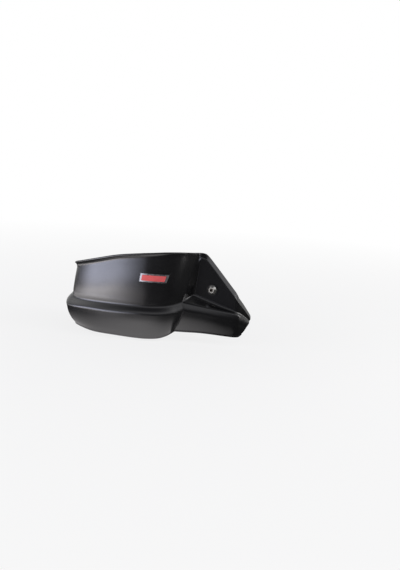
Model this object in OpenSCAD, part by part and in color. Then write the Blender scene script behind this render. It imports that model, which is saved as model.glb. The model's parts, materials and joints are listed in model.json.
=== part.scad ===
// Motorcycle hand guard for the right side, with its bar clamp and bar-end fixing.
// Millimetres. The origin is the centre of the clamp bore, on the axis of the handlebar.
// X runs inboard along the handlebar, Y runs to the rear and Z runs up.

/* [Preview] */
// Node to show, or all of them

/* [Shell plan] */
// Wall thickness of the moulding
wall = 3; // [2.4:0.2:3.4]
// Tip of the flank outboard of the panel screw
tip_run = 39.5; // [38:0.5:41]
// Straight length of the outboard wall
wall_run = 54; // [50:1:60]
// Radius of the outboard corner at shelf level
corner_r = 26; // [24:1:30]
// Radius of the long front sweep
front_r = 196.5; // [185:0.5:205]
// Radius where the front turns into the flank
flank_r = 60; // [54:1:66]
// Straight end of the flank
flank_run = 14; // [12:1:18]
// Width of the panel zone along the shelf
panel_run = 73; // [70:1:78]
// Radius of the inboard corner
return_r = 14; // [12:0.5:18]
// Length of the return behind the inboard corner
return_run = 23; // [18:1:26]

/* [Shell section] */
// Height of the top edge over the handlebar axis
top_h = 76; // [70:1:82]
// Depth of the skirt under the handlebar axis
skirt_h = 53; // [48:1:58]
// How far the shelf stands out from the upper face
shelf_step = 8; // [6:0.5:9]
// How far the lip flares out at the outboard corner
lip_flare = 4.8; // [3:0.2:6]
// Height of the flared lip
lip_h = 5; // [4:0.5:6]
// How far the diagonal edge rolls back
roll_back = 6.5; // [5:0.5:8]
// Height of the rolled edge over the flat panel
roll_h = 7; // [6:0.5:8]
// Depth of the panel behind the tip of the flank
panel_recess = 18; // [15:0.5:20]

/* [Panel fixing] */
// Face of the panel in front of the handlebar axis
panel_out = 38; // [37:0.5:40]
// Height of the panel screw over the handlebar axis
screw_z = 24; // [22:1:28]
// Panel screw from the middle of the clamp
screw_x = 19; // [18:1:24]
// Thread of the panel, strip and clamp screws
thread_d = 6; // [5, 6]
// Outside of the spacer sleeve in the grommet
sleeve_d = 8.4; // [8:0.2:9]
// Thickness of a grommet flange
flange_t = 1.2; // [1:0.1:1.6]

/* [Strip and clamp] */
// Thickness of the mounting strip
strip_t = 4; // [3:0.5:5]
// Width of the mounting strip
strip_w = 20; // [18:1:22]
// Diameter of the handlebar in the clamp
bar_d = 22.2; // [22.2, 25.4]
// Width of the clamp along the handlebar
clamp_w = 20; // [18:1:24]
// Gap between the clamp halves
clamp_split = 1.2; // [0.8:0.1:1.6]
// Wall between the bore and the strip
clamp_front = 8.9; // [8:0.1:10]
// Wall round the bore of the clamp
clamp_wall = 6; // [5:0.5:6.5]
// Half thickness of the clamp ears
ear_t = 8; // [7:0.5:9]

/* [Bar end] */
// Thread of the bar-end screw
end_thread_d = 8; // [6, 8]
// Length of the spacer between the shell and the handlebar
end_spacer = 14; // [10:1:18]
// Outside of the expander that grips inside the handlebar
expander_d = 17.4; // [15:0.2:18]
// Length of the rubber expander
expander_l = 24; // [18:1:28]

/* [Badge] */
// Length of the trim plate
badge_l = 34; // [30:1:38]
// Height of the trim plate
badge_h = 12; // [10:0.5:14]
// Thickness of the trim plate
badge_t = 1.2; // [1:0.1:1.6]
// Edge of the plate that stays free round the inlay
badge_border = 2; // [1.5:0.1:2.5]

/* [Hidden] */
clearance = 0.2;              // radial, round a shank or sleeve
seat = 0.05;                  // bedding of a thin part on a curved face
bore_r = bar_d / 2;
panel_y = -panel_out;
tip = [screw_x - tip_run, panel_y - panel_recess];   // where flank, panel and shelf meet
bar_dir = [1, 0];             // the handlebar in plan
entry = atan2(-bar_dir[0], bar_dir[1]);   // heading of the outboard wall, square to the handlebar
corner_turn = 56;             // degrees, as are all headings and turns
front_turn = 38;
flank_turn = 44;
panel_heading = 10;
return_turn = 42;
flank_heading = entry + corner_turn + front_turn + flank_turn;
head_front = panel_y - flange_t;
strip_back = -bore_r - clamp_front;
strip_y = strip_back - strip_t;               // front face of the strip
washer_t = 1.6;
fine = 72;

// Plan geometry

function ahead(h) = [cos(h), sin(h)];
function outward(h) = [sin(h), -cos(h)];
function swing(r, h, turn) = r * (outward(h + turn) - outward(h));
function arc_len(r, turn) = r * turn * PI / 180;
function lift(p, z) = [p[0], p[1], z];
function unit(v) = v / norm(v);
function ramp(x, a, b) = min(1, max(0, (x - a) / (b - a)));

flank_in = tip - flank_run * ahead(flank_heading);
front_out = flank_in - swing(flank_r, flank_heading - flank_turn, flank_turn);
front_in = front_out - swing(front_r, entry + corner_turn, front_turn);
corner_in = front_in - swing(corner_r, entry, corner_turn);
wall_x = corner_in[0];

// Distances along the shelf at which the plan changes from line to arc
s_corner = wall_run;
s_front = s_corner + arc_len(corner_r, corner_turn);
s_flank = s_front + arc_len(front_r, front_turn);
s_straight = s_flank + arc_len(flank_r, flank_turn);
s_tip = s_straight + flank_run;

function on_arc(p, h, r, s) = let (turn = s / r * 180 / PI) [p + swing(r, h, turn), h + turn];
function main_path(s) =
    s <= s_corner ? [corner_in + (s - s_corner) * ahead(entry), entry]
    : s <= s_front ? on_arc(corner_in, entry, corner_r, s - s_corner)
    : s <= s_flank ? on_arc(front_in, entry + corner_turn, front_r, s - s_front)
    : s <= s_straight ? on_arc(front_out, flank_heading - flank_turn, flank_r, s - s_flank)
    : [flank_in + (s - s_straight) * ahead(flank_heading), flank_heading];

// The panel zone starts just inboard of the tip, and ends with a corner and a return
panel_start = tip + shelf_step * [0.4, 0.05];
panel_end = panel_start + panel_run * ahead(panel_heading);
s_return = panel_run + arc_len(return_r, return_turn);
s_end = s_return + return_run;
return_start = panel_end + swing(return_r, panel_heading, return_turn);
function panel_path(s) =
    s <= panel_run ? [panel_start + s * ahead(panel_heading), panel_heading]
    : s <= s_return ? on_arc(panel_end, panel_heading, return_r, s - panel_run)
    : [return_start + (s - s_return) * ahead(panel_heading + return_turn), panel_heading + return_turn];

// Section stations
// Each row is one place along the shelf. After the distance come shares of the sizes listed above it:
// top edge height, lip flare, lip height, lean and belly of the upper face, shelf root height,
// shelf step, shelf edge height, skirt offset, skirt height, belly of the skirt, shelf edge radius.
sizes = [1, top_h, lip_flare, lip_h, shelf_step, shelf_step, skirt_h,
    shelf_step, skirt_h, shelf_step, skirt_h, shelf_step, shelf_step];
s_front_1 = s_front + 0.35 * (s_flank - s_front);
s_front_2 = s_front + 0.7 * (s_flank - s_front);
s_turn = s_flank + 0.6 * (s_straight - s_flank);
stations = [
    [0, 0.37, 0.5, 1, 0, 0, -0.3, 0.5, -0.47, -0.12, -0.66, 0.12, 0.6],
    [0.4 * wall_run, 0.41, 0.6, 1, 0, 0, -0.3, 0.94, -0.48, -0.5, -0.755, 0.19, 0.6],
    [0.7 * wall_run, 0.447, 0.7, 1.1, 0, 0, -0.17, 1.25, -0.38, -0.62, -0.81, 0.25, 1],
    [s_corner, 0.5, 0.9, 1.2, -0.38, 0, -0.085, 1.56, -0.33, -0.75, -0.87, 0.31, 1.1],
    [s_front, 0.566, 1, 1.25, -0.69, 0.08, -0.226, 1.44, -0.41, -0.5, -1, 0.38, 0.62],
    [s_front_1, 0.71, 1, 1.15, -0.8, 0.1, -0.17, 1.09, -0.336, 0.06, -1, 0.25, 0.38],
    [s_front_2, 0.855, 0.9, 1, -0.69, 0.13, -0.113, 1, -0.283, 0.25, -0.957, 0.19, 0.31],
    [s_flank, 0.934, 0.7, 1, -0.62, 0.15, -0.08, 0.94, -0.234, 0.25, -0.943, 0.19, 0.31],
    [s_turn, 0.987, 0.3, 1.1, -0.44, 0.15, -0.053, 0.88, -0.226, 0.19, -0.917, 0.19, 0.31],
    [s_straight, 1, 0, 1.2, -0.25, 0.12, -0.004, 0.75, -0.2, 0, -0.84, 0.15, 0.31],
    [s_tip, 1, -0.3, 1.3, -0.19, 0, 0.068, 0.62, -0.132, -0.38, -0.751, 0.12, 0.31]
];

// Rows of the panel zone: distance, top of the flat panel, height of the rolled edge over it,
// foot of the panel, shelf root height, shelf step, shelf edge height, skirt offset, skirt height.
panel_top_x = tip[0] + 0.26 * panel_run;
panel_foot_x = tip[0] + 0.15 * panel_run;
panel_sizes = [1, top_h, roll_h, skirt_h, skirt_h, shelf_step, skirt_h, shelf_step, skirt_h];
panel_stations = [
    [0, 0.908, 1, 0.245, 0.057, 0.44, -0.132, 0.25, -0.745],
    [0.12 * panel_run, 0.9, 1, 0.2, 0.038, 0.43, -0.143, 0.24, -0.738],
    [0.2 * panel_run, 0.85, 1, 0.168, 0.025, 0.41, -0.151, 0.23, -0.732],
    [0.4 * panel_run, 0.7, 1, 0.102, -0.008, 0.38, -0.175, 0.19, -0.721],
    [0.8 * panel_run, 0.386, 1, -0.03, -0.068, 0.31, -0.249, 0.19, -0.736],
    [panel_run, 0.23, 1, -0.08, -0.094, 0.25, -0.283, 0.12, -0.747],
    [s_return, 0.12, 1, -0.13, -0.142, 0.19, -0.321, 0, -0.751],
    [s_end, -0.21, 0.6, -0.36, -0.377, 0.12, -0.453, -0.12, -0.689]
];

// Smooth values between stations, with no overshoot past a level run
function rate(t, i, c) = (t[i + 1][c] - t[i][c]) / (t[i + 1][0] - t[i][0]);
function slope(t, k, c) = k <= 0 ? rate(t, 0, c) : k >= len(t) - 1 ? rate(t, len(t) - 2, c)
    : let (a = rate(t, k - 1, c), b = rate(t, k, c)) a * b <= 0 ? 0 : 2 * a * b / (a + b);
function span_of(t, s, k = 0) = k >= len(t) - 2 || s < t[k + 1][0] ? k : span_of(t, s, k + 1);
function eased(a, b, ma, mb, u) =
    a + (b - a) * (3 * u * u - 2 * u * u * u) + ma * (u - 2 * u * u + u * u * u) + mb * (u * u * u - u * u);
function station(t, sizes, s) =
    let (k = span_of(t, s), run = t[k + 1][0] - t[k][0], u = (s - t[k][0]) / run)
    [for (c = [0 : len(t[0]) - 1])
        sizes[c] * eased(t[k][c], t[k + 1][c], slope(t, k, c) * run, slope(t, k + 1, c) * run, u)];

// Control points of one cross section: edge foot, panel foot, shelf root, shelf edge, skirt bottom,
// then upper outward, lower outward, flare, edge height, belly, skirt belly, shelf edge radius and
// how flat the edge is, from 0 for a quarter round to 1 for a chamfer
shear_top = 0.33 * top_h;     // the flank runs further back at the top than at the shelf
// Where the walls of flank and panel meet, at the shelf edge and at the skirt
crease_main = shelf_step * [0.09, -0.89];
crease_panel = shelf_step * [0.46, -0.94];
end_slant = 0.7 * return_run; // the return is shorter at the skirt
shelf_blend = 4;

function main_section(s) =
    let (at = main_path(s), b = at[0], t = ahead(at[1]), n = outward(at[1]),
         q = station(stations, sizes, s), w = ramp(s, s_flank, s_tip), lean = shear_top * w,
         foot_z = q[1] - q[3], root = q[6], rise = shelf_step * (1 - 0.69 * w))
    [lift(b + n * q[4] + t * lean, foot_z),
     lift(b + t * lean * rise / (foot_z - root), root + rise),
     lift(b, root),
     lift(b + n * q[7] + t * crease_main[0] * w, q[8]),
     lift(b + n * q[9] + t * crease_main[1] * w, q[10]),
     lift(n, 0), lift(n, 0), q[2], q[3], q[5], q[11], q[12], 0];

end_normal = outward(panel_heading);
corner_recess = (panel_y - panel_end[1]) / -end_normal[1];
panel_edge_x = panel_end[0] - end_normal[0] * corner_recess;
function on_panel(x, w) = [x + (panel_edge_x - x) * w, panel_y];
function panel_section(s) =
    let (at = panel_path(s), b = at[0], t = ahead(at[1]), n = outward(at[1]),
         q = station(panel_stations, panel_sizes, s), flat = s <= panel_run,
         w = min(1, s / panel_run), v = ramp(s, panel_run, s_end), near = 1 - ramp(s, 0, panel_run / 2),
         back = b - n * (corner_recess * (1 - v) + 0.25 * shelf_step * v),
         slant = t * end_slant * ramp(s, s_return, s_end) / (q[8] - q[1]),
         turned = 0.35 * ramp(s, panel_run, s_return),
         roll = -roll_back * (1 - 0.4 * ramp(s, s_return, s_end)))
    [lift(flat ? on_panel(panel_top_x, w) : back, q[1]),
     lift(flat ? on_panel(panel_foot_x, w) : back - slant * (q[3] - q[1]), q[3]),
     lift(b - slant * (q[4] - q[1]), q[4]),
     lift(b + n * q[5] + t * crease_panel[0] * near - slant * (q[6] - q[1]), q[6]),
     lift(b + n * q[7] + t * crease_panel[1] * near - slant * (q[8] - q[1]), q[8]),
     lift([0, -1] * (1 - turned) + n * turned, 0), lift(n, 0), roll, q[2], 0, 0.1 * shelf_step, shelf_blend, 1];

// Columns of the loft. The crease between flank and facet stands a little proud.
function steps(a, b, n) = [for (i = [0 : n - 1]) a + (b - a) * i / n];
function blended(a, b, w) = [for (k = [0 : len(a) - 1]) a[k] * (1 - w) + b[k] * w];
function softened(a, b, c) = [for (k = [0 : len(a) - 1]) (a[k] + 2 * b[k] + c[k]) / 4];
function ridged(c, d) = [for (k = [0 : len(c) - 1]) k < 2 ? c[k] + d * unit(c[5]) : c[k]];
ridge = 0.5;
crease_w = 1.3;
flank_end = s_tip - 2.7 * crease_w;
soft = 2;
facet_out = main_section(s_tip);
facet_in = panel_section(0);
main_steps = concat(steps(0, s_corner, 6), steps(s_corner, s_front, 9), steps(s_front, s_flank, 14),
    steps(s_flank, s_straight, 9), steps(s_straight, flank_end, 3), [flank_end, s_tip - crease_w]);
panel_steps = concat(steps(soft, panel_run, 11), steps(panel_run, s_return, 6),
    steps(s_return, s_end, 4), [s_end]);
sections = concat(
    [for (s = main_steps) main_section(s)],
    [ridged(facet_out, ridge), blended(facet_out, facet_in, 0.12), blended(facet_out, facet_in, 0.5),
     blended(facet_out, facet_in, 0.84),
     softened(blended(facet_out, facet_in, 0.84), facet_in, panel_section(soft))],
    [for (s = panel_steps) panel_section(s)]);

// Rows of the loft: rolled or flared edge, upper face, shelf, skirt and rim
edge_rows = [[8, 1], [30, 0.7], [50, 0.38], [70, 0.1]];   // angle of a quarter round, share of a chamfer
foot_r = 3;
root_r = 1.8;
function reach(p, q, d) = min(d, 0.4 * norm(q - p));
function curve(p, a, b, d, ts) =
    let (p0 = p + unit(a - p) * reach(p, a, d), p1 = p + unit(b - p) * reach(p, b, d))
    [for (t = ts) p0 * (1 - t) * (1 - t) + p * 2 * t * (1 - t) + p1 * t * t];
function edge_point(c, a, k) =
    c[0] + unit(c[5]) * c[7] * ((1 - sin(a)) * (1 - c[12]) + k * c[12])
    + [0, 0, c[8] * (cos(a) * (1 - c[12]) + k * c[12])];
function rows(c) =
    let (top = c[0], n = unit(c[5]), m = unit(c[6]),
         foot = curve(c[1], c[0], c[2], foot_r, [0, 0.5, 1]),
         root = curve(c[2], c[1], c[3], root_r, [0, 0.5, 1]),
         edge = curve(c[3], c[2], c[4], max(shelf_blend, c[11]), [0, 0.33, 0.67, 1]))
    concat(
        [for (e = edge_rows) edge_point(c, e[0], e[1])],
        [for (i = [0 : 7]) let (t = i / 8) top + (foot[0] - top) * t + n * c[9] * 4 * t * (1 - t)],
        foot, [(foot[2] + root[0]) / 2], root, [(root[2] + edge[0]) / 2], edge,
        [for (i = [1 : 4]) let (t = i / 5) edge[3] + (c[4] - edge[3]) * t + m * c[10] * 4 * t * (1 - t)],
        [c[4] + [0, 0, 0.4 * wall], c[4] + m * 0.3 * wall]);

// Closed skin of a grid of points: the outer face, the same points moved inward, and the rim between
function facing(g, i, j) =
    let (u = g[min(i + 1, len(g) - 1)][j] - g[max(i - 1, 0)][j],
         v = g[i][min(j + 1, len(g[0]) - 1)] - g[i][max(j - 1, 0)])
    unit(cross(v, u));
function moved(g, d) =
    [for (i = [0 : len(g) - 1]) [for (j = [0 : len(g[0]) - 1]) g[i][j] + d * facing(g, i, j)]];
module skin(outer, inner) {
    nc = len(outer);
    nr = len(outer[0]);
    half = nc * nr;
    points = concat([for (c = outer) each c], [for (c = inner) each c]);
    function quad(a, b, c, d) = [[a, b, c], [a, c, d]];
    faces = concat(
        [for (i = [0 : nc - 2], j = [0 : nr - 2]) let (a = i * nr + j, b = a + nr)
            each concat(quad(a, b, b + 1, a + 1), quad(half + a, half + a + 1, half + b + 1, half + b))],
        [for (i = [0 : nc - 2]) let (a = i * nr, b = a + nr, e = nr - 1)
            each concat(quad(a, half + a, half + b, b), quad(a + e, b + e, half + b + e, half + a + e))],
        [for (j = [0 : nr - 2]) let (a = (nc - 1) * nr + j)
            each concat(quad(j, j + 1, half + j + 1, half + j), quad(a, half + a, half + a + 1, a + 1))]);
    polyhedron(points, faces, convexity = 8);
}

module shell() {
    grid = [for (c = sections) rows(c)];
    color([0.07, 0.07, 0.08])
    difference() {
        skin(grid, moved(grid, -wall));
        // Hole for the grommet in the panel
        translate([screw_x, panel_y - wall / 2, screw_z]) rotate([-90, 0, 0])
            cylinder(d = grommet_d, h = 2 * wall, $fn = fine);
        // Hole for the bar-end screw in the outboard wall
        translate([wall_x - wall / 2, 0, 0]) rotate([0, 90, 0])
            cylinder(d = end_thread_d + 2 * clearance, h = 2 * wall, $fn = fine);
    }
}

// Trim plate on the upper face, bent to its curve
badge_s = s_flank + 0.35 * badge_l;
badge_z = top_h / 2;
badge_lean = 0.12;            // slant of the ends
function upper_point(s, z) =
    let (c = main_section(s), foot = curve(c[1], c[0], c[2], foot_r, [0])[0],
         t = (c[0][2] - z) / (c[0][2] - foot[2]))
    c[0] + (foot - c[0]) * t + c[5] * c[9] * 4 * t * (1 - t);
function badge_grid(l, h) =
    [for (i = [0 : 12]) [for (j = [0 : 4]) let (a = (i / 12 - 0.5) * l, b = (j / 4 - 0.5) * h)
        upper_point(badge_s + a - b * badge_lean, badge_z - b)]];
module badge_plate() {
    grid = badge_grid(badge_l, badge_h);
    color([0.62, 0.63, 0.65]) skin(moved(grid, seat + badge_t), moved(grid, seat));
}
module badge_inlay() {
    grid = badge_grid(badge_l - 3 * badge_border, badge_h - 2 * badge_border);
    color([0.7, 0.08, 0.07]) skin(moved(grid, seat + 1.6 * badge_t), moved(grid, seat + badge_t));
}

// Fasteners stand on z = 0, with the head above and the shank below

module button_screw(d, l, head_d, head_h, flange = 0) {
    rim_h = flange > 0 ? flange : 0.3;
    difference() {
        union() {
            rotate_extrude($fn = fine)
                polygon([[0, 0], [head_d / 2, 0], [head_d / 2, rim_h], [head_d * 0.4, head_h * 0.62],
                    [head_d * 0.29, head_h], [0, head_h]]);
            translate([0, 0, -l + d / 8]) cylinder(d = d, h = l, $fn = fine);
            translate([0, 0, -l]) cylinder(d1 = d * 0.75, d2 = d, h = d / 8, $fn = fine);
        }
        translate([0, 0, head_h - d * 0.35]) cylinder(d = d * 0.75, h = d, $fn = 6);
    }
}
module cap_screw(d, l) {
    difference() {
        union() {
            cylinder(d = d * 1.6, h = d * 0.88, $fn = fine);
            translate([0, 0, d * 0.88]) cylinder(d1 = d * 1.6, d2 = d * 1.36, h = d * 0.12, $fn = fine);
            translate([0, 0, -l + d / 8]) cylinder(d = d, h = l, $fn = fine);
            translate([0, 0, -l]) cylinder(d1 = d * 0.75, d2 = d, h = d / 8, $fn = fine);
        }
        translate([0, 0, d / 2]) cylinder(d = d * 0.95, h = d, $fn = 6);
    }
}
module ring(outer, inner, h) {
    difference() {
        cylinder(d = outer, h = h, $fn = fine);
        translate([0, 0, -1]) cylinder(d = inner, h = h + 2, $fn = fine);
    }
}

// Panel fixing, along Y

grommet_t = 2;                // rubber between the sleeve and the panel
grommet_d = sleeve_d + 2 * grommet_t;
module at_panel(y) { translate([screw_x, y, screw_z]) rotate([90, 0, 0]) children(); }
nut_h = thread_d;
module panel_screw() {
    color([0.75, 0.75, 0.74]) at_panel(head_front)
        button_screw(thread_d, strip_back + washer_t + 1.25 * nut_h - head_front,
            thread_d * 2.27, thread_d * 0.55, thread_d * 0.13);
}
module panel_grommet() {
    flange_d = thread_d * 2.27 + 3;
    color([0.03, 0.03, 0.03]) difference() {
        union() {
            at_panel(panel_y) cylinder(d = flange_d, h = flange_t, $fn = fine);
            at_panel(panel_y + wall) cylinder(d = grommet_d, h = wall, $fn = fine);
            at_panel(panel_y + wall + flange_t) cylinder(d = flange_d, h = flange_t, $fn = fine);
        }
        at_panel(panel_y + wall + 2 * flange_t)
            cylinder(d = sleeve_d, h = wall + 4 * flange_t, $fn = fine);
    }
}
module panel_sleeve() {
    shoulder = panel_y + wall + flange_t;
    color([0.55, 0.56, 0.58]) difference() {
        union() {
            at_panel(strip_y) cylinder(d = sleeve_d, h = strip_y - head_front, $fn = fine);
            at_panel(strip_y) cylinder(d = sleeve_d + 2 * grommet_t, h = strip_y - shoulder, $fn = fine);
        }
        at_panel(strip_y + 1)
            cylinder(d = thread_d + 2 * clearance, h = strip_y - head_front + 2, $fn = fine);
    }
}
module panel_washer() {
    color([0.6, 0.6, 0.62]) at_panel(strip_back + washer_t)
        ring(thread_d * 2, thread_d + 2 * clearance, washer_t);
}
module panel_nut() {
    color([0.6, 0.6, 0.62]) at_panel(strip_back + washer_t + nut_h) difference() {
        union() {
            translate([0, 0, nut_h * 0.3]) cylinder(d = thread_d * 1.84, h = nut_h * 0.7, $fn = 6);
            cylinder(d = thread_d * 1.45, h = nut_h * 0.3, $fn = fine);
        }
        translate([0, 0, -1]) cylinder(d = thread_d, h = nut_h + 2, $fn = fine);
    }
}

// Strip from the panel screw to the clamp

strip_angle = atan2(screw_z, screw_x);
strip_span = norm([screw_x, screw_z]);
strip_waist = 0.8 * strip_w;    // narrower between its round ends
module mount_strip() {
    color([0.1, 0.1, 0.11]) translate([0, strip_back, 0]) rotate([90, 0, 0]) difference() {
        union() {
            cylinder(d = strip_w, h = strip_t, $fn = fine);
            translate([screw_x, screw_z, 0]) cylinder(d = strip_w, h = strip_t, $fn = fine);
            rotate([0, 0, strip_angle]) translate([0, -strip_waist / 2, 0])
                cube([strip_span, strip_waist, strip_t]);
        }
        translate([0, 0, -1]) cylinder(d = thread_d + 2 * clearance, h = strip_t + 2, $fn = fine);
        translate([screw_x, screw_z, -1]) cylinder(d = thread_d + 2 * clearance, h = strip_t + 2, $fn = fine);
    }
}
module strip_washer() {
    color([0.6, 0.6, 0.62]) translate([0, strip_y, 0]) rotate([90, 0, 0])
        ring(thread_d * 2, thread_d + 2 * clearance, washer_t);
}
strip_hold = clamp_front - 1.9;   // depth of the strip screw's hole, which ends before the bore
module strip_screw() {
    color([0.2, 0.2, 0.22]) translate([0, strip_y - washer_t, 0]) rotate([90, 0, 0])
        button_screw(thread_d, washer_t + strip_t + strip_hold - 1, thread_d * 1.75, thread_d * 0.55);
}

// Two-piece clamp round the handlebar

ear_z = bore_r + thread_d;    // the clamp screws pass just outside the bore
ear_top = ear_z + thread_d;
body_r = bore_r + clamp_wall;
cut_r = 3 * body_r;           // larger than the clamp, for its cuts
module clamp_half(side) {
    difference() {
        intersection() {
            union() {
                translate([-clamp_w / 2, 0, 0]) rotate([0, 90, 0])
                    cylinder(r = body_r, h = clamp_w, $fn = fine);
                translate([-clamp_w / 2, -ear_t, -ear_top]) cube([clamp_w, 2 * ear_t, 2 * ear_top]);
                if (side < 0)
                    translate([0, strip_back, 0]) rotate([-90, 0, 0])
                        cylinder(d = clamp_w, h = -strip_back, $fn = fine);
            }
            translate([-cut_r, side > 0 ? clamp_split / 2 : -cut_r - clamp_split / 2, -cut_r])
                cube([2 * cut_r, cut_r, 2 * cut_r]);
        }
        translate([-cut_r, 0, 0]) rotate([0, 90, 0]) cylinder(r = bore_r, h = 2 * cut_r, $fn = 2 * fine);
        for (z = [-ear_z, ear_z])
            translate([0, -1.5 * ear_t, z]) rotate([-90, 0, 0])
                cylinder(d = side > 0 ? thread_d : thread_d + 2 * clearance, h = 3 * ear_t, $fn = fine);
        // Spot faces for the washers and the screw heads
        if (side < 0) for (z = [-ear_z, ear_z])
            translate([0, -ear_t - cut_r, z]) rotate([-90, 0, 0])
                cylinder(d = thread_d * 2.2, h = cut_r, $fn = fine);
        // Threaded hole for the strip screw
        if (side < 0)
            translate([0, strip_back - 1, 0]) rotate([-90, 0, 0])
                cylinder(d = thread_d, h = strip_hold + 1, $fn = fine);
    }
}
module clamp_saddle() { color([0.13, 0.13, 0.14]) clamp_half(1); }
module clamp_cap() { color([0.13, 0.13, 0.14]) clamp_half(-1); }
module clamp_screw(z) {
    color([0.2, 0.2, 0.22]) translate([0, -ear_t - washer_t, z]) rotate([90, 0, 0])
        cap_screw(thread_d, washer_t + 1.9 * ear_t);
}
module clamp_washer(z) {
    color([0.6, 0.6, 0.62]) translate([0, -ear_t, z]) rotate([90, 0, 0])
        ring(thread_d * 1.9, thread_d + 2 * clearance, washer_t);
}
module clamp_screw_upper() { clamp_screw(ear_z); }
module clamp_screw_lower() { clamp_screw(-ear_z); }
module clamp_washer_upper() { clamp_washer(ear_z); }
module clamp_washer_lower() { clamp_washer(-ear_z); }

// Bar-end fixing, along X

nut_l = expander_l / 2;
end_face = wall_x + wall;
bar_face = end_face + end_spacer;
nut_face = bar_face + expander_l;
module along_bar(x) { translate([x, 0, 0]) rotate([0, 90, 0]) children(); }
module bar_end_screw() {
    color([0.2, 0.2, 0.22]) translate([wall_x - washer_t, 0, 0]) rotate([0, -90, 0])
        button_screw(end_thread_d, nut_face + nut_l + 2 - wall_x + washer_t,
            end_thread_d * 1.75, end_thread_d * 0.55);
}
module bar_end_washer() {
    color([0.25, 0.25, 0.27]) along_bar(wall_x - washer_t)
        ring(0.9 * bar_d, end_thread_d + 2 * clearance, washer_t);
}
module bar_end_spacer() {
    color([0.12, 0.12, 0.13]) along_bar(end_face) ring(bar_d, end_thread_d + 2 * clearance, end_spacer);
}
module expander_sleeve() {
    color([0.03, 0.03, 0.03]) along_bar(bar_face) ring(expander_d, end_thread_d + 2 * clearance, expander_l);
}
module expander_nut() {
    color([0.6, 0.6, 0.62]) along_bar(nut_face) difference() {
        cylinder(d1 = 0.85 * expander_d, d2 = expander_d, h = nut_l, $fn = fine);
        translate([0, 0, -1]) cylinder(d = end_thread_d, h = nut_l + 2, $fn = fine);
    }
}

shell();
badge_plate();
badge_inlay();
panel_screw();
panel_grommet();
panel_sleeve();
panel_washer();
panel_nut();
mount_strip();
clamp_saddle();
clamp_cap();
clamp_screw_upper();
clamp_screw_lower();
clamp_washer_upper();
clamp_washer_lower();
strip_screw();
strip_washer();
bar_end_screw();
bar_end_washer();
bar_end_spacer();
expander_sleeve();
expander_nut();
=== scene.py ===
# Motorcycle hand guard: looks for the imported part, in metres and in the part's own frame
import json
import math
import bpy
import bmesh
import numpy as np
from mathutils import Matrix, Vector

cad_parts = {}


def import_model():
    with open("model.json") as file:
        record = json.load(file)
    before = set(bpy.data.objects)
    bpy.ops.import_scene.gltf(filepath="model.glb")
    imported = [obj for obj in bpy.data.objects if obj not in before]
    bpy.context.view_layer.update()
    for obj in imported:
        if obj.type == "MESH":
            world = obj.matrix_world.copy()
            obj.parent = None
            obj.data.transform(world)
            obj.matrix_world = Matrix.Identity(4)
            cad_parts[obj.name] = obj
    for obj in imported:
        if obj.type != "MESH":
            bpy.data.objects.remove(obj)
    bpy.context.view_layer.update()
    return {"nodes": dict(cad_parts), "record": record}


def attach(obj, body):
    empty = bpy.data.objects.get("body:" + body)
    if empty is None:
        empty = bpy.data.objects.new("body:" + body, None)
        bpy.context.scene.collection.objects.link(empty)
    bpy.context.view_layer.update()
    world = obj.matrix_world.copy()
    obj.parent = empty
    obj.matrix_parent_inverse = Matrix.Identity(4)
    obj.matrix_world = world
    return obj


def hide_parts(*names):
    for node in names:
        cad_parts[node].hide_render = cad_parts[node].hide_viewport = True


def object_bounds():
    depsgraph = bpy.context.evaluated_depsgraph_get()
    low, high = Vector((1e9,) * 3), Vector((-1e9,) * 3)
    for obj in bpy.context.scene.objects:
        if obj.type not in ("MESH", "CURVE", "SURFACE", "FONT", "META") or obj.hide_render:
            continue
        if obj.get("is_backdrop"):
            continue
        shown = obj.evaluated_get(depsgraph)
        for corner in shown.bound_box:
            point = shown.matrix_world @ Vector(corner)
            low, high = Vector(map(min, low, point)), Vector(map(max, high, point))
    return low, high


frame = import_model()

# Shell sizes in millimetres and headings in degrees, with the same values as the part's source
MM_PER_M = 1000
WALL = 3.0
SCREW_X = 19.0
SCREW_Z = 24.0
PANEL_Y = -38.0
RECESS = 18.0
TIP_TO_SCREW = 39.5
TIP_TO_PANEL = (3.2, 0.4)
WALL_RUN = 54.0
CORNER_R = 26.0
FRONT_R = 196.5
FLANK_R = 60.0
FLANK_RUN = 14.0
PANEL_RUN = 73.0
RETURN_R = 14.0
RETURN_RUN = 23.0
RETURN_RECESS = 2
TOP_H = 76.0
SKIRT_H = 53.0
STEP = 8.0
LIP = 4.8
LIP_H = 5.0
ROLL = 6.5
DROP = 7.0
RIDGE = 0.5

# Holes, and the cylinders that cut them
PANEL_HOLE_R = 6.2
BAR_END_HOLE_R = 4.2
CUTTER_LENGTH = 12
CUTTER_SIDES = 64

# Headings and turns of the plan line
ENTRY = -90.0
CORNER_TURN = 56.0
FRONT_TURN = 38.0
FLANK_TURN = 44.0
PANEL_HEADING = 10.0
RETURN_TURN = 42.0
FLANK_HEADING = ENTRY + CORNER_TURN + FRONT_TURN + FLANK_TURN

# Slants and offsets of the sections, most of them as shares of the sizes above
SHEAR = 0.33 * TOP_H
CREASE_MAIN = (0.09 * STEP, -0.89 * STEP)
CREASE_PANEL = (0.46 * STEP, -0.94 * STEP)
END_SLANT = 0.7 * RETURN_RUN
RISE_LOSS = 0.69
ROLL_LOSS = 0.4
RETURN_LEAN = 0.35
PANEL_TOP_START = 0.26 * PANEL_RUN
PANEL_FOOT_START = 0.15 * PANEL_RUN
PANEL_SKIRT_BELLY = 0.1 * STEP

# Roundings of a section
FOOT_R = 3.0
ROOT_R = 1.8
SHELF_BLEND = 4.0
REACH_SHARE = 0.4
HEM_RISE = 1.2
HEM_FLARE = 0.9
LIP_ROWS = ((8, 1), (30, 0.7), (50, 0.38), (70, 0.1))
FACE_ROWS = 8
SKIRT_ROWS = (0.2, 0.4, 0.6, 0.8)

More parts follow.
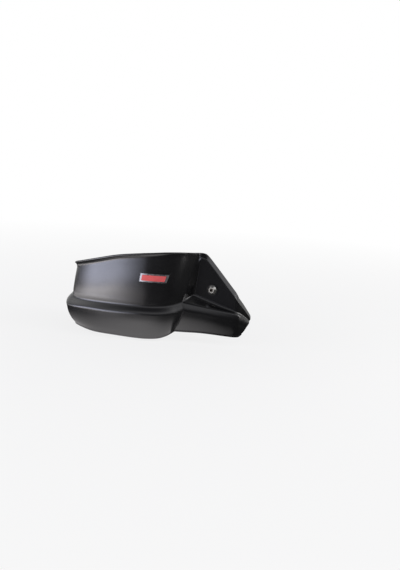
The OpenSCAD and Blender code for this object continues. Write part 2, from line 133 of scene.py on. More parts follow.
# Number of sections on each stretch of the main path, and on the panel and its return
MAIN_COUNTS = (7, 10, 15, 10, 3)
PANEL_COUNTS = (13, 6, 4)

# Sections near the tip: distances before it, shares of the way over it, and distance after it
BEFORE_TIP = (3.5, 1.3)
OVER_TIP = (0.12, 0.5, 0.84)
AFTER_TIP = 2.0

# Places in a section's list: five points from the top down, two directions, sizes, and last
# a share that is 1 where the lip is straight and 0 where it is round
(TOP, FOOT, ROOT, EDGE, HEM, UPPER_FACE, SKIRT_FACE,
 FLARE, LIP_RISE, BELLY, SKIRT_BELLY, BLEND, STRAIGHT) = range(13)


def ahead(heading):
    return np.array([math.cos(math.radians(heading)), math.sin(math.radians(heading))])


def outward(heading):
    return np.array([math.sin(math.radians(heading)), -math.cos(math.radians(heading))])


def swing(radius, heading, turn):
    return radius * (outward(heading + turn) - outward(heading))


def arc_length(radius, turn):
    return radius * math.radians(turn)


def lift(point, z):
    return np.array([point[0], point[1], z])


def unit(vector):
    return vector / np.linalg.norm(vector)


def ramp(x, start, end):
    return min(1.0, max(0.0, (x - start) / (end - start)))


def between(start, end, share):
    return start + share * (end - start)


# The main path is drawn backwards from the tip, where the flank meets the panel
tip = np.array([SCREW_X - TIP_TO_SCREW, PANEL_Y - RECESS])
flank_in = tip - FLANK_RUN * ahead(FLANK_HEADING)
front_out = flank_in - swing(FLANK_R, FLANK_HEADING - FLANK_TURN, FLANK_TURN)
front_in = front_out - swing(FRONT_R, ENTRY + CORNER_TURN, FRONT_TURN)
corner_in = front_in - swing(CORNER_R, ENTRY, CORNER_TURN)
wall_x = corner_in[0]
at_corner = WALL_RUN
at_front = at_corner + arc_length(CORNER_R, CORNER_TURN)
at_flank = at_front + arc_length(FRONT_R, FRONT_TURN)
at_straight = at_flank + arc_length(FLANK_R, FLANK_TURN)
at_tip = at_straight + FLANK_RUN


def on_arc(start, heading, radius, distance):
    turn = math.degrees(distance / radius)
    return start + swing(radius, heading, turn), heading + turn


def main_path(s):
    """Point and heading at distance s along the outboard wall, corner, front and flank."""
    if s <= at_corner:
        return corner_in + (s - at_corner) * ahead(ENTRY), ENTRY
    if s <= at_front:
        return on_arc(corner_in, ENTRY, CORNER_R, s - at_corner)
    if s <= at_flank:
        return on_arc(front_in, ENTRY + CORNER_TURN, FRONT_R, s - at_front)
    if s <= at_straight:
        return on_arc(front_out, FLANK_HEADING - FLANK_TURN, FLANK_R, s - at_flank)
    return flank_in + (s - at_straight) * ahead(FLANK_HEADING), FLANK_HEADING


panel_start = tip + np.array(TIP_TO_PANEL)
panel_end = panel_start + PANEL_RUN * ahead(PANEL_HEADING)
at_return = PANEL_RUN + arc_length(RETURN_R, RETURN_TURN)
at_end = at_return + RETURN_RUN
return_start = panel_end + swing(RETURN_R, PANEL_HEADING, RETURN_TURN)
end_normal = outward(PANEL_HEADING)
corner_recess = (PANEL_Y - panel_end[1]) / -end_normal[1]
panel_edge_x = panel_end[0] - end_normal[0] * corner_recess


def panel_path(s):
    """Point and heading at distance s along the panel's shelf and the return behind it."""
    if s <= PANEL_RUN:
        return panel_start + s * ahead(PANEL_HEADING), PANEL_HEADING
    if s <= at_return:
        return on_arc(panel_end, PANEL_HEADING, RETURN_R, s - PANEL_RUN)
    return return_start + (s - at_return) * ahead(PANEL_HEADING + RETURN_TURN), PANEL_HEADING + RETURN_TURN


# Distance, then shares of MAIN_SIZES: top, flare, lip rise, lean, belly, root, step, edge, hem offset, hem,
# skirt belly, blend
MAIN_SIZES = [1, TOP_H, LIP, LIP_H, STEP, STEP, SKIRT_H, STEP, SKIRT_H, STEP, SKIRT_H, STEP, STEP]
MAIN = [
    [0, 0.37, 0.5, 1, 0, 0, -0.3, 0.5, -0.47, -0.12, -0.66, 0.12, 0.6],
    [0.4 * WALL_RUN, 0.41, 0.6, 1, 0, 0, -0.3, 0.94, -0.48, -0.5, -0.755, 0.19, 0.6],
    [0.7 * WALL_RUN, 0.447, 0.7, 1.1, 0, 0, -0.17, 1.25, -0.38, -0.62, -0.81, 0.25, 1],
    [at_corner, 0.5, 0.9, 1.2, -0.38, 0, -0.085, 1.56, -0.33, -0.75, -0.87, 0.31, 1.1],
    [at_front, 0.566, 1, 1.25, -0.69, 0.08, -0.226, 1.44, -0.41, -0.5, -1, 0.38, 0.62],
    [between(at_front, at_flank, 0.35),
     0.71, 1, 1.15, -0.8, 0.1, -0.17, 1.09, -0.336, 0.06, -1, 0.25, 0.38],
    [between(at_front, at_flank, 0.7),
     0.855, 0.9, 1, -0.69, 0.13, -0.113, 1, -0.283, 0.25, -0.957, 0.19, 0.31],
    [at_flank, 0.934, 0.7, 1, -0.62, 0.15, -0.08, 0.94, -0.234, 0.25, -0.943, 0.19, 0.31],
    [between(at_flank, at_straight, 0.6),
     0.987, 0.3, 1.1, -0.44, 0.15, -0.053, 0.88, -0.226, 0.19, -0.917, 0.19, 0.31],
    [at_straight, 1, 0, 1.2, -0.25, 0.12, -0.004, 0.75, -0.2, 0, -0.84, 0.15, 0.31],
    [at_tip, 1, -0.3, 1.3, -0.19, 0, 0.068, 0.62, -0.132, -0.38, -0.751, 0.12, 0.31],
]
# Distance, then shares of PANEL_SIZES: top, roll height, foot, root, step, edge, hem offset, hem
PANEL_SIZES = [1, TOP_H, DROP, SKIRT_H, SKIRT_H, STEP, SKIRT_H, STEP, SKIRT_H]
PANEL = [
    [0, 0.908, 1, 0.245, 0.057, 0.44, -0.132, 0.25, -0.745],
    [0.12 * PANEL_RUN, 0.9, 1, 0.2, 0.038, 0.43, -0.143, 0.24, -0.738],
    [0.2 * PANEL_RUN, 0.85, 1, 0.168, 0.025, 0.41, -0.151, 0.23, -0.732],
    [0.4 * PANEL_RUN, 0.7, 1, 0.102, -0.008, 0.38, -0.175, 0.19, -0.721],
    [0.8 * PANEL_RUN, 0.386, 1, -0.03, -0.068, 0.31, -0.249, 0.19, -0.736],
    [PANEL_RUN, 0.23, 1, -0.08, -0.094, 0.25, -0.283, 0.12, -0.747],
    [at_return, 0.12, 1, -0.13, -0.142, 0.19, -0.321, 0, -0.751],
    [at_end, -0.21, 0.6, -0.36, -0.377, 0.12, -0.453, -0.12, -0.689],
]


def slope(table, row, column):
    """Slope of a column at a row, which keeps the curve from overshooting its values."""
    if row <= 0 or row >= len(table) - 1:
        i = 0 if row <= 0 else len(table) - 2
        return (table[i + 1][column] - table[i][column]) / (table[i + 1][0] - table[i][0])
    before = (table[row][column] - table[row - 1][column]) / (table[row][0] - table[row - 1][0])
    after = (table[row + 1][column] - table[row][column]) / (table[row + 1][0] - table[row][0])
    return 0 if before * after <= 0 else 2 * before * after / (before + after)


def station(table, sizes, s):
    """Values of a table at distance s, times their sizes, without the distance."""
    row = 0
    while row < len(table) - 2 and s >= table[row + 1][0]:
        row += 1
    run = table[row + 1][0] - table[row][0]
    u = (s - table[row][0]) / run
    values = []
    for column in range(1, len(sizes)):
        a = table[row][column]
        b = table[row + 1][column]
        slope_a = slope(table, row, column) * run
        slope_b = slope(table, row + 1, column) * run
        share = (a + (b - a) * (3 * u * u - 2 * u ** 3)
                 + slope_a * (u - 2 * u * u + u ** 3) + slope_b * (u ** 3 - u * u))
        values.append(sizes[column] * share)
    return values


def main_section(s):
    """Section across the outboard wall, corner, front or flank."""
    base, heading = main_path(s)
    along = ahead(heading)
    out = outward(heading)
    (top, flare, lip_rise, lean, belly, root, step, edge, hem_out, hem,
     skirt_belly, blend) = station(MAIN, MAIN_SIZES, s)
    near_tip = ramp(s, at_flank, at_tip)
    face_top = top - lip_rise
    rise = STEP * (1 - RISE_LOSS * near_tip)
    shear = SHEAR * near_tip
    return [lift(base + out * lean + along * shear, face_top),
            lift(base + along * shear * rise / (face_top - root), root + rise),
            lift(base, root),
            lift(base + out * step + along * CREASE_MAIN[0] * near_tip, edge),
            lift(base + out * hem_out + along * CREASE_MAIN[1] * near_tip, hem),
            lift(out, 0), lift(out, 0), flare, lip_rise, belly, skirt_belly, blend, 0]


def panel_section(s):
    """Section across the panel, whose face is flat and recessed, or across the return."""
    base, heading = panel_path(s)
    along = ahead(heading)
    out = outward(heading)
    top, roll_rise, foot, root, step, edge, hem_out, hem = station(PANEL, PANEL_SIZES, s)
    share = min(1, s / PANEL_RUN)
    past_panel = ramp(s, PANEL_RUN, at_end)
    near_tip = 1 - ramp(s, 0, PANEL_RUN / 2)
    past_return = ramp(s, at_return, at_end)
    recessed = base - out * (corner_recess * (1 - past_panel) + RETURN_RECESS * past_panel)
    slant = END_SLANT * past_return / (hem - top)
    turned = RETURN_LEAN * ramp(s, PANEL_RUN, at_return)
    face = unit(np.array([0, -1.0]) * (1 - turned) + out * turned)
    if s <= PANEL_RUN:
        top_x = tip[0] + PANEL_TOP_START
        foot_x = tip[0] + PANEL_FOOT_START
        top_point = [top_x + (panel_edge_x - top_x) * share, PANEL_Y]
        foot_point = [foot_x + (panel_edge_x - foot_x) * share, PANEL_Y]
    else:
        top_point = recessed
        foot_point = recessed - along * slant * (foot - top)
    return [lift(top_point, top),
            lift(foot_point, foot),
            lift(base - along * slant * (root - top), root),
            lift(base + out * step + along * (CREASE_PANEL[0] * near_tip - slant * (edge - top)), edge),
            lift(base + out * hem_out + along * (CREASE_PANEL[1] * near_tip - slant * (hem - top)), hem),
            lift(face, 0), lift(out, 0), -ROLL * (1 - ROLL_LOSS * past_return), roll_rise,
            0, PANEL_SKIRT_BELLY, SHELF_BLEND, 1]


def steps(start, end, count):
    return [start + (end - start) * i / count for i in range(count)]


def stretches(marks, counts):
    """Distances in even steps from each mark to the next."""
    return [s for i, count in enumerate(counts) for s in steps(marks[i], marks[i + 1], count)]


def blended(a, b, share):
    return [p * (1 - share) + q * share for p, q in zip(a, b)]


def softened(a, b, c):
    return [(p + 2 * q + r) / 4 for p, q, r in zip(a, b, c)]


def ridged(section, height):
    bump = unit(section[UPPER_FACE]) * height
    return [section[TOP] + bump, section[FOOT] + bump] + section[ROOT:]


def sections():
    """All sections of the shell, from the outboard wall to the end of the return."""
    main_marks = (0, at_corner, at_front, at_flank, at_straight, at_tip - BEFORE_TIP[0])
    main = stretches(main_marks, MAIN_COUNTS) + [at_tip - distance for distance in BEFORE_TIP]
    panel = stretches((AFTER_TIP, PANEL_RUN, at_return, at_end), PANEL_COUNTS) + [at_end]
    flank_end = main_section(at_tip)
    panel_first = panel_section(0)
    over = [blended(flank_end, panel_first, share) for share in OVER_TIP]
    return ([main_section(s) for s in main] + [ridged(flank_end, RIDGE)] + over
            + [softened(over[-1], panel_first, panel_section(AFTER_TIP))]
            + [panel_section(s) for s in panel])


def reach(a, b, distance):
    return min(distance, REACH_SHARE * np.linalg.norm(b - a))


def rounded(corner, a, b, distance, shares):
    """Points of a curve that rounds a corner between a and b."""
    first = corner + unit(a - corner) * reach(corner, a, distance)
    last = corner + unit(b - corner) * reach(corner, b, distance)
    return [first * (1 - t) ** 2 + corner * 2 * t * (1 - t) + last * t * t for t in shares]


def lip_points(c, out, up):
    """Lip above the top of the face: round on the main part and straight on the panel."""
    points = []
    for angle, along in LIP_ROWS:
        turn = math.radians(angle)
        points.append(c[TOP]
                      + out * c[FLARE] * ((1 - math.sin(turn)) * (1 - c[STRAIGHT]) + along * c[STRAIGHT])
                      + up * c[LIP_RISE] * (math.cos(turn) * (1 - c[STRAIGHT]) + along * c[STRAIGHT]))
    return points


def rows(c):
    """All points of a section, from the lip down to the hem."""
    out = unit(c[UPPER_FACE])
    skirt_out = unit(c[SKIRT_FACE])
    up = np.array([0, 0, 1.0])
    foot = rounded(c[FOOT], c[TOP], c[ROOT], FOOT_R, (0, 0.5, 1))
    root = rounded(c[ROOT], c[FOOT], c[EDGE], ROOT_R, (0, 0.5, 1))
    edge = rounded(c[EDGE], c[ROOT], c[HEM], max(SHELF_BLEND, c[BLEND]), (0, 0.33, 0.67, 1))
    face = [c[TOP] + (foot[0] - c[TOP]) * t + out * c[BELLY] * 4 * t * (1 - t)
            for t in [i / FACE_ROWS for i in range(FACE_ROWS)]]
    skirt = [edge[3] + (c[HEM] - edge[3]) * t + skirt_out * c[SKIRT_BELLY] * 4 * t * (1 - t)
             for t in SKIRT_ROWS]
    return (lip_points(c, out, up) + face + foot + [(foot[2] + root[0]) / 2] + root
            + [(root[2] + edge[0]) / 2] + edge + skirt
            + [c[HEM] + up * HEM_RISE, c[HEM] + skirt_out * HEM_FLARE])


def facing(points):
    """Outward direction at each point of the grid."""
    along = np.empty_like(points)
    down = np.empty_like(points)
    along[1:-1] = points[2:] - points[:-2]
    along[0] = points[1] - points[0]
    along[-1] = points[-1] - points[-2]
    down[:, 1:-1] = points[:, 2:] - points[:, :-2]
    down[:, 0] = points[:, 1] - points[:, 0]
    down[:, -1] = points[:, -1] - points[:, -2]
    normal = np.cross(down, along)
    return normal / np.linalg.norm(normal, axis=2)[:, :, None]


def new_mesh(name, verts, faces):
    mesh = bpy.data.meshes.new(name)
    mesh.from_pydata([tuple(v) for v in verts], [], faces)
    mesh.validate()
    mesh.update()
    ob = bpy.data.objects.new(name, mesh)
    bpy.context.scene.collection.objects.link(ob)
    mesh.polygons.foreach_set("use_smooth", [True] * len(mesh.polygons))
    return ob


def skin(name, outer, inner):
    """Closed mesh between two grids of points in millimetres."""
    columns, count = outer.shape[:2]
    half = columns * count
    verts = np.concatenate([outer.reshape(-1, 3), inner.reshape(-1, 3)]) / MM_PER_M
    faces = []
    for i in range(columns - 1):
        for j in range(count - 1):
            a = i * count + j
            b = a + count
            faces += [(a, b, b + 1, a + 1), (half + a, half + a + 1, half + b + 1, half + b)]
        first = i * count
        faces += [(first, half + first, half + first + count, first + count)]
        last = first + count - 1
        faces += [(last, last + count, half + last + count, half + last)]
    for j in range(count - 1):
        a = (columns - 1) * count + j
        faces += [(j, j + 1, half + j + 1, half + j), (a, half + a, half + a + 1, a + 1)]
    ob = new_mesh(name, verts, faces)
    edit = bmesh.new()
    edit.from_mesh(ob.data)
    bmesh.ops.recalc_face_normals(edit, faces=edit.faces)
    edit.to_mesh(ob.data)
    edit.free()
    return ob


def apply_modifiers(ob):
    depsgraph = bpy.context.evaluated_depsgraph_get()
    mesh = bpy.data.meshes.new_from_object(ob.evaluated_get(depsgraph))
    old = ob.data
    ob.modifiers.clear()
    ob.data = mesh
    bpy.data.meshes.remove(old)


def tube_cutter(centre, axis, radius):
    """Cylinder that cuts a hole through the wall."""
    mesh = bpy.data.meshes.new("cutter")
    edit = bmesh.new()
    bmesh.ops.create_cone(edit, cap_ends=True, segments=CUTTER_SIDES, radius1=radius, radius2=radius,
                          depth=CUTTER_LENGTH / MM_PER_M)
    edit.to_mesh(mesh)
    edit.free()
    ob = bpy.data.objects.new("cutter", mesh)
    ob.rotation_mode = "QUATERNION"
    ob.rotation_quaternion = Vector(axis).to_track_quat("Z", "Y")
    ob.location = centre
    bpy.context.scene.collection.objects.link(ob)
    return ob


def guard_shell():
    """Smooth skin of the shell with its two holes."""
    grid = np.array([rows(section) for section in sections()])
    ob = skin("guard_shell", grid, grid - WALL * facing(grid))
    smooth = ob.modifiers.new("smooth", "SUBSURF")
    smooth.levels = 2
    smooth.render_levels = 2
    half_wall = WALL / 2 / MM_PER_M
    panel_hole = (SCREW_X / MM_PER_M, PANEL_Y / MM_PER_M + half_wall, SCREW_Z / MM_PER_M)
    bar_end_hole = (wall_x / MM_PER_M + half_wall, 0, 0)
    cutters = [tube_cutter(panel_hole, (0, 1, 0), PANEL_HOLE_R / MM_PER_M),
               tube_cutter(bar_end_hole, (1, 0, 0), BAR_END_HOLE_R / MM_PER_M)]
    for i, cutter in enumerate(cutters):
        hole = ob.modifiers.new(f"hole{i}", "BOOLEAN")
        hole.operation = "DIFFERENCE"
        hole.object = cutter
        hole.solver = "EXACT"
    apply_modifiers(ob)
    for cutter in cutters:
        bpy.data.objects.remove(cutter)
    ob.data.polygons.foreach_set("use_smooth", [True] * len(ob.data.polygons))
    return ob


shell = guard_shell()
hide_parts("shell")
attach(shell, "root")

# Material helpers
# A Mix node has separate sockets for numbers and for colours, and these are their places
NUMBER_A, NUMBER_B, NUMBER_OUT = 2, 3, 0
COLOUR_A, COLOUR_B, COLOUR_OUT = 6, 7, 2


def material(name):
    made = bpy.data.materials.new(name)
    made.use_nodes = True
    return made, made.node_tree, made.node_tree.nodes["Principled BSDF"]


def node(tree, kind, **props):
    made = tree.nodes.new(kind)
    for key, value in props.items():
        setattr(made, key, value)
    return made


def output(tree, kind, name):
    return node(tree, kind).outputs[name]


def combined(tree, operation, a, b):
    """Math node with two linked inputs."""
    made = node(tree, "ShaderNodeMath", operation=operation)
    tree.links.new(a, made.inputs[0])
    tree.links.new(b, made.inputs[1])
    return made.outputs[0]


def separated(tree, vector):
    made = node(tree, "ShaderNodeSeparateXYZ")
    tree.links.new(vector, made.inputs[0])
    return made.outputs


def length(tree, vector):
    made = node(tree, "ShaderNodeVectorMath", operation="LENGTH")
    tree.links.new(vector, made.inputs[0])
    return made.outputs["Value"]


def noise(tree, place, scale, detail, rough=0.5):
    made = node(tree, "ShaderNodeTexNoise")
    made.inputs["Scale"].default_value = scale
    made.inputs["Detail"].default_value = detail
    made.inputs["Roughness"].default_value = rough
    tree.links.new(place, made.inputs["Vector"])
    return made.outputs["Fac"]


def span(tree, value, low, high, out_low, out_high, kind="LINEAR"):
    """Map a value from one range to another and keep it inside the second."""
    made = node(tree, "ShaderNodeMapRange", interpolation_type=kind)
    made.inputs["From Min"].default_value = low
    made.inputs["From Max"].default_value = high
    made.inputs["To Min"].default_value = out_low
    made.inputs["To Max"].default_value = out_high
    tree.links.new(value, made.inputs["Value"])
    return made.outputs["Result"]


def mixed(tree, share, a, b):
    """Mix two colours, each a tuple or another node's output."""
    made = node(tree, "ShaderNodeMix", data_type="RGBA")
    tree.links.new(share, made.inputs["Factor"])
    for socket, value in ((COLOUR_A, a), (COLOUR_B, b)):
        if isinstance(value, tuple):
            made.inputs[socket].default_value = (*value, 1)
        else:
            tree.links.new(value, made.inputs[socket])
    return made.outputs[COLOUR_OUT]


def bumped(tree, surface, layers):
    """Layers of bump: height, strength and distance of each."""
    last = None
    for height, strength, distance in layers:
        bump = node(tree, "ShaderNodeBump")
        bump.inputs["Strength"].default_value = strength
        bump.inputs["Distance"].default_value = distance
        tree.links.new(height, bump.inputs["Height"])
        if last:
            tree.links.new(last, bump.inputs["Normal"])
        last = bump.outputs["Normal"]
    tree.links.new(last, surface.inputs["Normal"])


def dull_panel(tree, surface, place, rough, specular):
    """Give the flat panel the duller, finely eroded face that such an inset is moulded with."""
    dull_rough = 0.5
    dull_specular = 0.13
    inboard_from = (-0.03, -0.025)
    square_to_y = (-0.998, -0.991)
    facing_y = separated(tree, output(tree, "ShaderNodeTexCoord", "Normal"))["Y"]
    inboard = span(tree, separated(tree, place)["X"], *inboard_from, 0, 1)
    flat = span(tree, facing_y, *square_to_y, 1, 0)
    inset = combined(tree, "MULTIPLY", inboard, flat)
    dull = node(tree, "ShaderNodeMix", data_type="FLOAT")
    tree.links.new(inset, dull.inputs["Factor"])
    tree.links.new(rough, dull.inputs[NUMBER_A])
    dull.inputs[NUMBER_B].default_value = dull_rough
    tree.links.new(dull.outputs[NUMBER_OUT], surface.inputs["Roughness"])
    tree.links.new(span(tree, inset, 0, 1, specular, dull_specular), surface.inputs["Specular IOR Level"])


def moulded_plastic(name, dark, light, rough, grain, specular=0.5, dull_inset=False):
    """Plastic or rubber with cloudy tone, uneven gloss and a fine moulded grain."""
    made, tree, surface = material(name)
    place = output(tree, "ShaderNodeTexCoord", "Object")
    cloud = noise(tree, place, scale=22, detail=3)
    fine = noise(tree, place, scale=2600, detail=3, rough=0.6)
    medium = noise(tree, place, scale=420, detail=4, rough=0.6)
    tone = mixed(tree, span(tree, cloud, 0.35, 0.65, 0, 1), dark, light)
    tree.links.new(tone, surface.inputs["Base Color"])
    gloss = combined(tree, "ADD", span(tree, cloud, 0.3, 0.7, rough - 0.03, rough + 0.03),
                     span(tree, medium, 0.3, 0.7, -0.02, 0.03))
    tree.links.new(gloss, surface.inputs["Roughness"])
    surface.inputs["Specular IOR Level"].default_value = specular
    if dull_inset:
        dull_panel(tree, surface, place, gloss, specular)
    bumped(tree, surface, [(medium, 0.25 * grain, 0.0002), (fine, grain, 0.00006)])
    return made


def painted_socket_shade(tree, place, tone, centre, radius):
    """Paint shade into the socket of a screw whose axis runs along Y: a darker colour inside the socket's
    radius.
    """
    offset = node(tree, "ShaderNodeVectorMath", operation="SUBTRACT")
    tree.links.new(place, offset.inputs[0])
    offset.inputs[1].default_value = centre
    across = node(tree, "ShaderNodeVectorMath", operation="MULTIPLY")
    tree.links.new(offset.outputs["Vector"], across.inputs[0])
    across.inputs[1].default_value = (1, 0, 1)
    outside = span(tree, length(tree, across.outputs["Vector"]), 0.9 * radius, 1.15 * radius, 0, 1)
    # Painted shade: a dark brown colour stands in for the shade inside the socket's hollow
    return mixed(tree, outside, (0.05, 0.045, 0.035), tone)


def metal(name, dark, light, rough, metallic=1.0, streak=(900, 900, 40), socket=None):
    """Metal with blotches of tone and fine lines; streak holds the scale of the lines on each axis, and
    socket the centre and radius of painted shade in a screw's socket.
    """
    made, tree, surface = material(name)
    place = output(tree, "ShaderNodeTexCoord", "Object")
    stretch = node(tree, "ShaderNodeMapping")
    stretch.inputs["Scale"].default_value = streak
    tree.links.new(place, stretch.inputs["Vector"])
    lines = noise(tree, stretch.outputs["Vector"], scale=1.0, detail=3, rough=0.6)
    blot = noise(tree, place, scale=260, detail=4, rough=0.55)
    tone = mixed(tree, span(tree, blot, 0.35, 0.65, 0, 1), dark, light)
    # Painted shade in the screw's socket
    if socket:
        tone = painted_socket_shade(tree, place, tone, *socket)
    tree.links.new(tone, surface.inputs["Base Color"])
    surface.inputs["Metallic"].default_value = metallic
    gloss = combined(tree, "ADD", span(tree, blot, 0.3, 0.7, rough - 0.05, rough + 0.08),
                     span(tree, lines, 0.3, 0.7, -0.04, 0.06))
    tree.links.new(gloss, surface.inputs["Roughness"])
    bumped(tree, surface, [(lines, 0.06, 0.0001)])
    return made


# Materials, one for each slot of the record
# Centre and radius of the painted shade inside the panel screw's socket
SOCKET_R = 0.0024
SOCKET = ((SCREW_X / MM_PER_M, 0, SCREW_Z / MM_PER_M), SOCKET_R)
MATERIALS = {
    "guard_shell": moulded_plastic("satin_black_plastic", (0.0045, 0.0045, 0.005), (0.007, 0.007, 0.0076),
                                   rough=0.22, grain=0.02, specular=0.7, dull_inset=True),
    "badge_base": metal("brushed_silver", (0.55, 0.56, 0.58), (0.72, 0.72, 0.74),
                        rough=0.28, streak=(60, 60, 2400)),
    "badge_red": moulded_plastic("gloss_red", (0.6, 0.08, 0.085), (0.7, 0.12, 0.12), rough=0.2, grain=0.03),
    "bright_steel": metal("bright_steel", (0.64, 0.62, 0.58), (0.8, 0.79, 0.75), rough=0.2, socket=SOCKET),
    "grommet_rubber": moulded_plastic("black_rubber", (0.006, 0.006, 0.006), (0.012, 0.012, 0.012),
                                      rough=0.7, grain=0.3, specular=0.3),
    "plain_steel": metal("zinc_steel", (0.42, 0.43, 0.45), (0.6, 0.61, 0.62), rough=0.32),
    "black_bracket": moulded_plastic("black_powder_coat", (0.012, 0.012, 0.013), (0.02, 0.02, 0.021),
                                     rough=0.42, grain=0.35),
    "black_clamp": metal("black_anodised", (0.02, 0.02, 0.022), (0.035, 0.035, 0.038),
                         rough=0.36, metallic=0.85),
    "black_steel": metal("black_oxide", (0.03, 0.03, 0.032), (0.06, 0.06, 0.062), rough=0.34, metallic=0.9),
    "spacer_plastic": moulded_plastic("spacer_plastic", (0.015, 0.015, 0.016), (0.022, 0.022, 0.023),
                                      rough=0.5, grain=0.2),
}
shell.data.materials.clear()
shell.data.materials.append(MATERIALS["guard_shell"])


def dress_nodes():
    """Give each other piece its material, and the fixings a small bevel on their edges."""
    slots = {part["node"]: part["material_slot"] for part in frame["record"]["subparts"]}
    for name, ob in frame["nodes"].items():
        if name == "shell":
            continue
        ob.data.materials.clear()
        ob.data.materials.append(MATERIALS[slots[name]])
        if not name.startswith("badge"):
            bevel = ob.modifiers.new("edge", "BEVEL")
            bevel.width = 0.00022
            bevel.segments = 2
            bevel.limit_method = "ANGLE"
            bevel.angle_limit = math.radians(40)


dress_nodes()

# Floor, light and camera
CENTRE = Vector((-0.07, -0.04, 0.01))
FLOOR_SIZE = 30
FLOOR_BELOW = 0.0002
CARD_ABOVE = 0.0005


def mirrored_ray(tree, path):
    """1 for a reflected or refracted ray."""
    return combined(tree, "MAXIMUM", path.outputs["Is Glossy Ray"], path.outputs["Is Transmission Ray"])


def floor():
    """Pale floor. Reflections see it white behind the guard and dim in front, like the room there."""
    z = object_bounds()[0][2] - FLOOR_BELOW
    bpy.ops.mesh.primitive_plane_add(size=FLOOR_SIZE, location=(0, 0, z))
    ob = bpy.context.object
    ob.name = "floor"
    made, tree, surface = material("floor")
    surface.inputs["Base Color"].default_value = (0.88, 0.88, 0.88, 1)
    surface.inputs["Roughness"].default_value = 0.9
    surface.inputs["Specular IOR Level"].default_value = 0.1
    place = output(tree, "ShaderNodeTexCoord", "Object")
    path = node(tree, "ShaderNodeLightPath")
    white_share = span(tree, length(tree, place), 0.15, 1.6, 0.8, 1.0)
    shown = combined(tree, "MULTIPLY", path.outputs["Is Camera Ray"], white_share)
    glow = node(tree, "ShaderNodeEmission")
    dim = node(tree, "ShaderNodeEmission")
    tree.links.new(span(tree, separated(tree, place)["Y"], 0.05, 0.8, 0.05, 1.0), dim.inputs["Strength"])
    first = node(tree, "ShaderNodeMixShader")
    tree.links.new(shown, first.inputs[0])
    tree.links.new(surface.outputs[0], first.inputs[1])
    tree.links.new(glow.outputs[0], first.inputs[2])
    second = node(tree, "ShaderNodeMixShader")
    tree.links.new(mirrored_ray(tree, path), second.inputs[0])
    tree.links.new(first.outputs[0], second.inputs[1])
    tree.links.new(dim.outputs[0], second.inputs[2])
    tree.links.new(second.outputs[0], tree.nodes["Material Output"].inputs[0])
    ob.data.materials.append(made)
    ob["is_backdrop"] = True


def world():
    """Dim room with a pale band half-way up; the camera and reflections from behind see it white."""
    made = bpy.data.worlds.new("studio")
    bpy.context.scene.world = made
    made.use_nodes = True
    tree = made.node_tree
    room = tree.nodes["Background"]
    white = node(tree, "ShaderNodeBackground")
    white.inputs["Color"].default_value = (1, 1, 1, 1)
    direction = separated(tree, output(tree, "ShaderNodeTexCoord", "Generated"))
    band = mixed(tree, span(tree, direction["Z"], 0.15, 0.5, 0, 1), (0.05, 0.05, 0.053), (0.75, 0.75, 0.78))
    tone = mixed(tree, span(tree, direction["Z"], 0.6, 0.9, 0, 1), band, (0.05, 0.05, 0.056))
    tree.links.new(tone, room.inputs["Color"])
    path = node(tree, "ShaderNodeLightPath")
    behind = span(tree, direction["Y"], -0.1, 0.5, 0, 1)
    mirrored = combined(tree, "MULTIPLY", mirrored_ray(tree, path), behind)
    mix = node(tree, "ShaderNodeMixShader")
    tree.links.new(combined(tree, "MAXIMUM", path.outputs["Is Camera Ray"], mirrored), mix.inputs[0])
    tree.links.new(room.outputs[0], mix.inputs[1])
    tree.links.new(white.outputs[0], mix.inputs[2])
    tree.links.new(mix.outputs[0], tree.nodes["World Output"].inputs[0])


def aim(azimuth, elevation):
    a = math.radians(azimuth)
    e = math.radians(elevation)
    return Vector((math.sin(a) * math.cos(e), -math.cos(a) * math.cos(e), math.sin(e)))


def faded(light, across, along):
    """Let a rectangular lamp rise and fall softly along both of its sides.

    across and along hold four shares of a side: where the rise starts and ends, and where the fall does.
    """
    light.use_nodes = True
    tree = light.node_tree
    place = separated(tree, output(tree, "ShaderNodeNewGeometry", "Parametric"))
    last = None
    for axis, (rise_from, rise_to, fall_from, fall_to) in (("X", across), ("Y", along)):
        rise = span(tree, place[axis], rise_from, rise_to, 0, 1, kind="SMOOTHSTEP")
        fall = span(tree, place[axis], fall_from, fall_to, 1, 0, kind="SMOOTHSTEP")
        last = rise if last is None else combined(tree, "MULTIPLY", last, rise)
        last = combined(tree, "MULTIPLY", last, fall)
    tree.links.new(last, tree.nodes["Emission"].inputs["Strength"])


def lamp(name, size, glow, colour, across=None, along=None):
    """Rectangular lamp whose glow doesn't depend on its size; across and along are its fades."""
    light = bpy.data.lights.new(name, "AREA")
    light.shape = "RECTANGLE"
    light.size = size[0]
    light.size_y = size[1]
    light.energy = glow * math.pi * size[0] * size[1]
    light.color = colour
    if across:
        faded(light, across, along)
    ob = bpy.data.objects.new(name, light)
    ob.visible_camera = False
    bpy.context.scene.collection.objects.link(ob)
    return ob


def softbox(azimuth, elevation, distance, **details):
    """Lamp that faces the guard from one direction."""
    ob = lamp(**details)
    ob.location = CENTRE + aim(azimuth, elevation) * distance
    ob.rotation_mode = "QUATERNION"
    ob.rotation_quaternion = aim(azimuth, elevation).to_track_quat("Z", "Y")


def card(x, y, turn, **details):
    """Glowing card that lies on the floor in front of the guard, faces up and is turned about the origin."""
    ob = lamp(size=(x[1] - x[0], y[1] - y[0]), **details)
    spin = Matrix.Rotation(math.radians(turn), 4, "Z")
    middle = Vector(((x[0] + x[1]) / 2, (y[0] + y[1]) / 2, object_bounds()[0][2] + CARD_ABOVE))
    ob.location = spin @ middle
    ob.rotation_euler = (math.pi, 0, math.radians(turn))


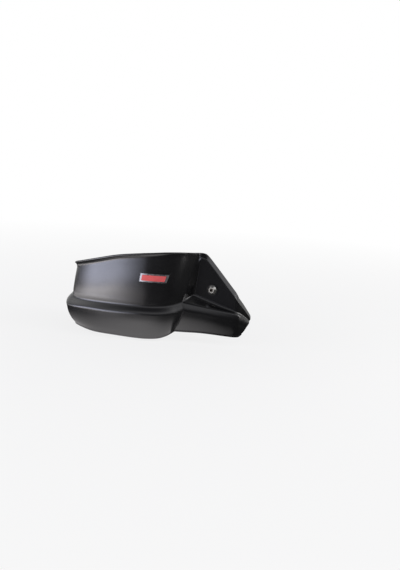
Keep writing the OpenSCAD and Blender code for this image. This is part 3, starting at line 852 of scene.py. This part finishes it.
def lamps():
    """Cool sky on the left, two narrow lamps for the edges on the right, and the bright ground in front."""
    softbox(-55, 10, 1.3, name="key_left", size=(3.0, 0.58), glow=5.8, colour=(0.79, 0.82, 1.0),
            across=(0.17, 0.35, 0.52, 0.92), along=(0, 0.04, 0.3, 1))
    softbox(88, 42, 1.0, name="edge_right", size=(0.28, 0.75), glow=1.0, colour=(0.96, 0.95, 1.0))
    softbox(92, 18, 1.0, name="edge_low", size=(0.16, 0.5), glow=9, colour=(1.0, 0.98, 0.98))
    card((-0.42, 0.60), (-1.20, -0.30), -58, name="ground_far", glow=7.5, colour=(1.0, 0.96, 0.97),
         across=(0, 0.2, 0.45, 1), along=(-0.2, 0.75, 1, 1.001))
    card((-0.45, 0.25), (-0.30, -0.055), -12, name="ground_near", glow=1.7, colour=(1.0, 0.97, 0.98),
         across=(0.26, 0.58, 0.58, 0.82), along=(0, 0.02, 0.45, 1))


def camera():
    """Camera fitted to the photo: the target point falls on one pixel of the picture."""
    azimuth = 18.0
    elevation = 10.0
    roll = math.radians(4.0)
    distance = 1.1
    pixel_size = 0.00145
    picture = (400, 570)
    sensor = 36.0
    target = Vector((0.019, -0.039, 0.024))
    target_pixel = (212.0, 290.0)
    back = aim(azimuth, elevation)
    level = Vector((math.cos(math.radians(azimuth)), math.sin(math.radians(azimuth)), 0))
    upright = back.cross(level)
    right = level * math.cos(roll) + upright * math.sin(roll)
    up = upright * math.cos(roll) - level * math.sin(roll)
    off_right = (target_pixel[0] - picture[0] / 2) * pixel_size
    off_up = -(target_pixel[1] - picture[1] / 2) * pixel_size
    data = bpy.data.cameras.new("camera")
    data.sensor_fit = "VERTICAL"
    data.sensor_height = sensor
    data.lens = sensor * (distance / pixel_size) / picture[1]
    data.clip_start = 0.01
    data.clip_end = 100
    ob = bpy.data.objects.new("camera", data)
    place = target + back * distance - right * off_right - up * off_up
    ob.matrix_world = Matrix(((right[0], up[0], back[0], place[0]), (right[1], up[1], back[1], place[1]),
                              (right[2], up[2], back[2], place[2]), (0, 0, 0, 1)))
    bpy.context.scene.collection.objects.link(ob)
    bpy.context.scene.camera = ob


floor()
world()
lamps()
camera()
bpy.context.scene.view_settings.view_transform = "Standard"
